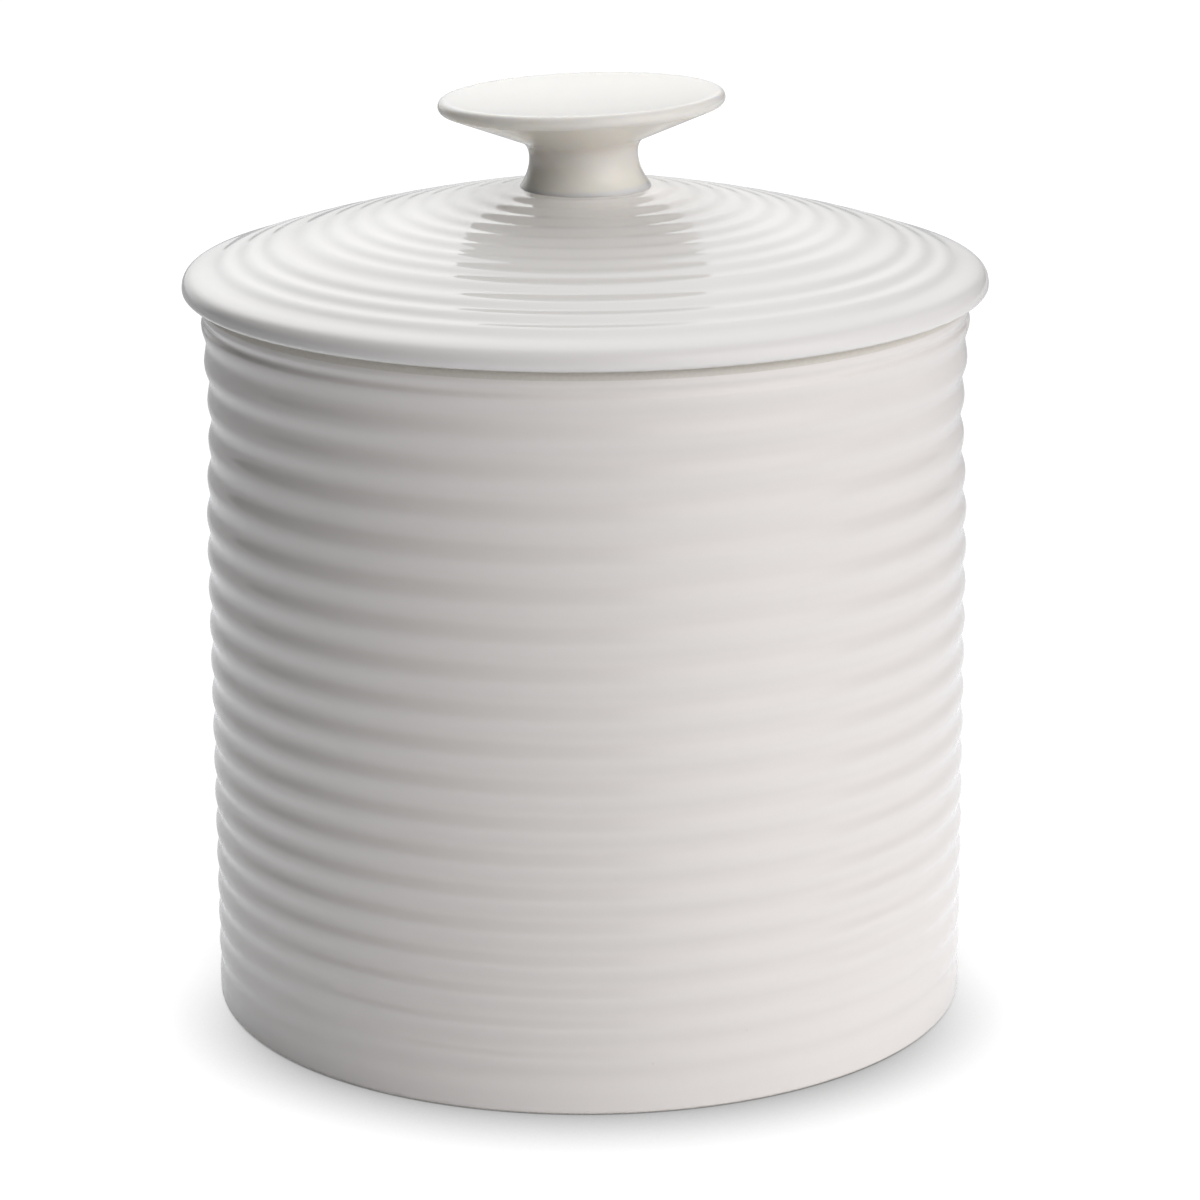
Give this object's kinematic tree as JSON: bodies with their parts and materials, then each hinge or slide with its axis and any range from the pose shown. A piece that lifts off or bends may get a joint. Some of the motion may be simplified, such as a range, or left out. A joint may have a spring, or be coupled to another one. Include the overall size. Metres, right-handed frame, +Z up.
{
  "type": "storage jar",
  "caption": "Straight ribbed porcelain jar with a domed ribbed lid, a disc knob on a waisted stem and a soft seal, for keeping dry food.",
  "frame": {"origin": "on the jar's axis, at the level of the foot ring that it stands on", "axes": "+Z up along the jar's axis, the way the lid lifts; the knob leans towards -X; -Y is the side seen in the picture"},
  "size_m": [0.14, 0.14, 0.1618],
  "materials": {
    "glazed_porcelain": "gloss",
    "silicone": "matte"
  },
  "bodies": {
    "jar": {"jar_body": "glazed_porcelain"},
    "seal": {"seal_ring": "silicone"},
    "cover": {"lid": "glazed_porcelain", "knob": "glazed_porcelain"}
  },
  "joints": [
    {"name": "lid_lift", "type": "slide", "parent": "jar", "child": "seal", "axis": [0, 0, 1], "range_m": [0, 0.06]},
    {"name": "lid_turn", "type": "hinge", "parent": "seal", "child": "cover", "pos_m": [0, 0, 0.1275], "axis": [0, 0, 1], "continuous": true}
  ]
}
